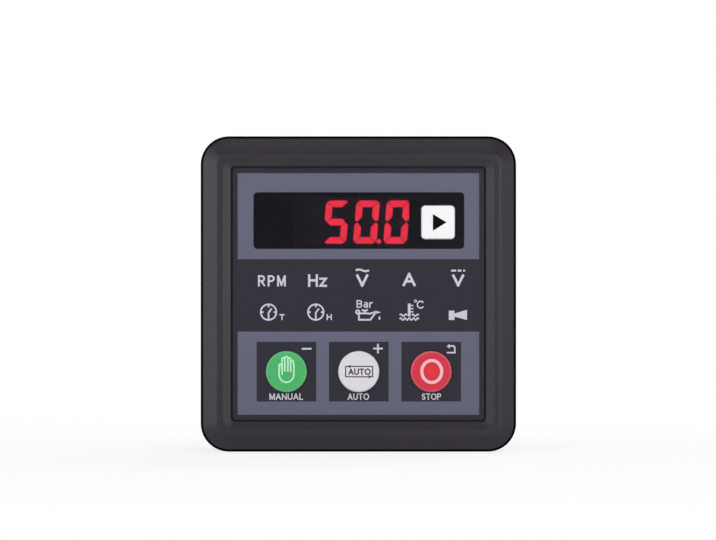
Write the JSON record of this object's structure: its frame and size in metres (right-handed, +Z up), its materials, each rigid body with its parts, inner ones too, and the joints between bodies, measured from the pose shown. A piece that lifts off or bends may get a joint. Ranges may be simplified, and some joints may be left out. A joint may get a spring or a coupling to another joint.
{
  "type": "generator set controller",
  "caption": "Square panel-mount generator set controller: ridged bezel, digit window, function signs, round push keys, pluggable rear terminals and screw clamps for the panel.",
  "frame": {"origin": "centre of the panel cut-out, on the gasket's rear face, which lies on the panel's front face", "axes": "+X right seen from the front, +Y into the panel, away from the viewer, +Z up"},
  "size_m": [0.078, 0.055, 0.078],
  "materials": {
    "bezel_plastic": "fine spark texture, satin",
    "overlay_film": "velvet film",
    "slate_print": "printed ink under film",
    "tinted_window": "smoked, polished",
    "green_key": "satin",
    "pale_key": "satin",
    "red_key": "satin",
    "white_key": "satin",
    "switch_plastic": "moulded",
    "display_face": "moulded",
    "lit_segment": "glowing epoxy",
    "dark_segment": "unlit epoxy",
    "lamp_epoxy": "clear epoxy",
    "board_laminate": "solder mask",
    "chip_plastic": "moulded",
    "contact_brass": "plated",
    "screw_steel": "zinc plated",
    "relay_plastic": "moulded",
    "capacitor_sleeve": "shrink sleeve",
    "choke_ferrite": "matt",
    "terminal_plastic": "moulded",
    "case_plastic": "fine spark texture",
    "gasket_rubber": "closed-cell",
    "clamp_plastic": "glass-filled"
  },
  "bodies": {
    "housing": {"front_bezel": "bezel_plastic", "front_overlay": "overlay_film", "printed_fields": "slate_print", "display_window": "tinted_window", "key_switches": "switch_plastic", "light_baffle": "switch_plastic", "link_base": "switch_plastic", "link_socket": "switch_plastic", "digit_module": "display_face", "lit_segments": "lit_segment", "dark_segments": "dark_segment", "indicator_lamps": "lamp_epoxy", "front_board": "board_laminate", "power_board": "board_laminate", "controller_chip": "chip_plastic", "display_driver": "chip_plastic", "link_pins": "contact_brass", "upper_pins": "contact_brass", "lower_pins": "contact_brass", "board_spacers": "contact_brass", "board_screws": "screw_steel", "relays": "relay_plastic", "capacitors": "capacitor_sleeve", "supply_choke": "choke_ferrite", "upper_socket": "terminal_plastic", "lower_socket": "terminal_plastic", "rear_case": "case_plastic", "panel_gasket": "gasket_rubber", "left_clamp": "clamp_plastic", "right_clamp": "clamp_plastic"},
    "manual_button": {"manual_key": "green_key", "manual_plunger": "switch_plastic"},
    "auto_button": {"auto_key": "pale_key", "auto_plunger": "switch_plastic"},
    "stop_button": {"stop_key": "red_key", "stop_plunger": "switch_plastic"},
    "page_button": {"page_key": "white_key", "page_plunger": "switch_plastic"},
    "upper_terminal_block": {"upper_plug": "terminal_plastic", "upper_wire_clamps": "screw_steel", "upper_terminal_screws": "screw_steel"},
    "lower_terminal_block": {"lower_plug": "terminal_plastic", "lower_wire_clamps": "screw_steel", "lower_terminal_screws": "screw_steel"},
    "left_screw": {"left_clamp_screw": "screw_steel"},
    "right_screw": {"right_clamp_screw": "screw_steel"}
  },
  "joints": [
    {"name": "manual_press", "type": "slide", "parent": "housing", "child": "manual_button", "axis": [0, 1, 0], "range_m": [0, 0.0005], "stiffness_N_per_m": 2500},
    {"name": "auto_press", "type": "slide", "parent": "housing", "child": "auto_button", "axis": [0, 1, 0], "range_m": [0, 0.0005], "stiffness_N_per_m": 2500},
    {"name": "stop_press", "type": "slide", "parent": "housing", "child": "stop_button", "axis": [0, 1, 0], "range_m": [0, 0.0005], "stiffness_N_per_m": 2500},
    {"name": "page_press", "type": "slide", "parent": "housing", "child": "page_button", "axis": [0, 1, 0], "range_m": [0, 0.0005], "stiffness_N_per_m": 2500},
    {"name": "upper_block_pull", "type": "slide", "parent": "housing", "child": "upper_terminal_block", "axis": [0, 1, 0], "range_m": [0, 0.02]},
    {"name": "lower_block_pull", "type": "slide", "parent": "housing", "child": "lower_terminal_block", "axis": [0, 1, 0], "range_m": [0, 0.02]},
    {"name": "left_screw_feed", "type": "slide", "parent": "housing", "child": "left_screw", "axis": [0, 1, 0], "range_m": [-0.0055, 0.003]},
    {"name": "right_screw_feed", "type": "slide", "parent": "housing", "child": "right_screw", "axis": [0, 1, 0], "range_m": [-0.0055, 0.003]}
  ]
}
